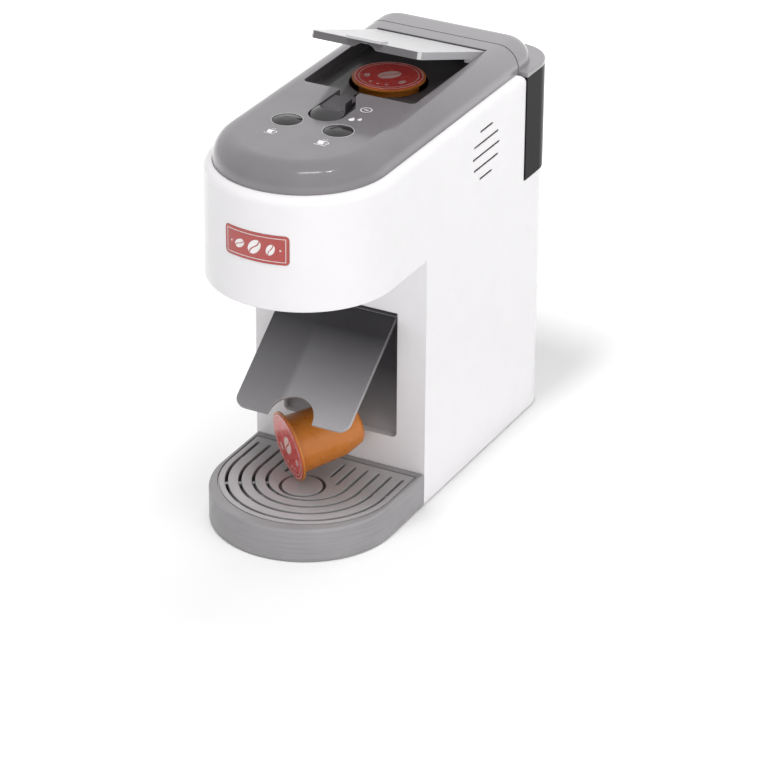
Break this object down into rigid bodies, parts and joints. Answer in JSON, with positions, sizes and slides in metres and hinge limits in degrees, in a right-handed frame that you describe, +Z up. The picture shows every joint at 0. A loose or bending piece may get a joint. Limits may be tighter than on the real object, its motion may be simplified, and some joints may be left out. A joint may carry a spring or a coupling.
{
  "type": "toy coffee maker",
  "caption": "Toy pod coffee maker with hinged lid, push buttons, thumb slider and drop gate, pod chute with flap, lift-off water tank and slotted drip tray.",
  "frame": {"origin": "on the ground, under the middle of the machine's bounding box", "axes": "+Z up, -Y towards the front where the drip tray is, +X to the side with the speaker's vents"},
  "size_m": [0.1012, 0.2348, 0.2438],
  "materials": {
    "body_white": "gloss",
    "cover_grey": "gloss",
    "lid_pale": "satin gloss",
    "tray_grey": "satin",
    "inner_dark": "matte",
    "button_dark": "gloss",
    "slider_dark": "gloss",
    "flap_dark": "satin metallic",
    "tank_smoky": "gloss",
    "pod_brown": "satin",
    "foil_red": "gloss",
    "plate_red": "gloss",
    "steel": "bright",
    "cell_gold": "gloss",
    "board_green": "satin",
    "black_plastic": "matte",
    "hose_clear": "satin",
    "foot_rubber": "matte",
    "valve_black": "matte"
  },
  "bodies": {
    "body": {"body_shell": "body_white", "base_plate": "inner_dark", "base_screws": "steel", "base_feet": "foot_rubber", "battery_box": "black_plastic", "batteries": "cell_gold", "battery_contacts": "steel", "battery_door": "inner_dark", "door_screw": "steel", "top_cover": "cover_grey", "spring_small": "steel", "spring_large": "steel", "circuit_board": "board_green", "button_switches": "black_plastic", "mode_switch": "black_plastic", "board_screws": "steel", "lid_pin": "steel", "pod_well": "inner_dark", "gate_pin": "steel", "pod_chute": "inner_dark", "flap_pin": "steel", "tank_spigot": "black_plastic", "pump": "black_plastic", "pump_motor": "steel", "pump_hose": "hose_clear", "spout": "inner_dark", "speaker": "black_plastic", "speaker_magnet": "steel", "front_plate": "plate_red"},
    "lid": {"lid": "lid_pale"},
    "thumb_slider": {"thumb_slider": "slider_dark", "gate_link": "steel"},
    "drop_gate": {"drop_gate": "inner_dark"},
    "seated_pod": {"seated_pod": "pod_brown", "seated_pod_foil": "foil_red"},
    "drip_tray": {"drip_tray": "tray_grey", "drip_grille": "tray_grey", "tray_feet": "foot_rubber"},
    "exit_pod": {"exit_pod": "pod_brown", "exit_pod_foil": "foil_red"},
    "chute_flap": {"chute_flap": "flap_dark"},
    "button_small": {"button_small": "button_dark"},
    "button_large": {"button_large": "button_dark"},
    "water_tank": {"water_tank": "tank_smoky", "tank_valve": "valve_black"},
    "tank_lid": {"tank_lid": "cover_grey"}
  },
  "joints": [
    {"name": "lid_hinge", "type": "hinge", "parent": "body", "child": "lid", "pos_m": [0, 0.0677, 0.214], "axis": [-1, 0, 0], "range_deg": [-19.5, 70.5]},
    {"name": "slider_slide", "type": "slide", "parent": "body", "child": "thumb_slider", "axis": [0, 1, 0], "range_m": [0, 0.009]},
    {"name": "gate_hinge", "type": "hinge", "parent": "body", "child": "drop_gate", "pos_m": [0, -0.0028, 0.1723], "axis": [-1, 0, 0], "range_deg": [0, 50]},
    {"name": "pod_drop", "type": "slide", "parent": "body", "child": "seated_pod", "axis": [0, 0, -1], "range_m": [0, 0.012]},
    {"name": "tray_slide", "type": "slide", "parent": "body", "child": "drip_tray", "axis": [0, -1, 0], "range_m": [0, 0.12]},
    {"name": "exit_pod_slide", "type": "slide", "parent": "drip_tray", "child": "exit_pod", "axis": [0, -1, 0], "range_m": [0, 0.2]},
    {"name": "flap_hinge", "type": "hinge", "parent": "body", "child": "chute_flap", "pos_m": [0, -0.0282, 0.1061], "axis": [1, 0, 0], "range_deg": [0, 52]},
    {"name": "button_small_press", "type": "slide", "parent": "body", "child": "button_small", "axis": [0, 0, -1], "range_m": [0, 0.002], "stiffness_N_per_m": 300, "springref_m": -0.001, "deforming": ["spring_small"]},
    {"name": "button_large_press", "type": "slide", "parent": "body", "child": "button_large", "axis": [0, 0, -1], "range_m": [0, 0.002], "stiffness_N_per_m": 300, "springref_m": -0.001, "deforming": ["spring_large"]},
    {"name": "tank_lift", "type": "slide", "parent": "body", "child": "water_tank", "axis": [0, 0, 1], "range_m": [0, 0.08]},
    {"name": "tank_lid_lift", "type": "slide", "parent": "water_tank", "child": "tank_lid", "axis": [0, 0, 1], "range_m": [0, 0.03]}
  ],
  "couplings": [
    {"joint": "gate_hinge", "follows": "slider_slide", "rad_per_m": 96.9},
    {"joint": "pod_drop", "follows": "slider_slide", "ratio": 1.33},
    {"joint": "flap_hinge", "follows": "exit_pod_slide", "rad_per_m": 4.53}
  ]
}
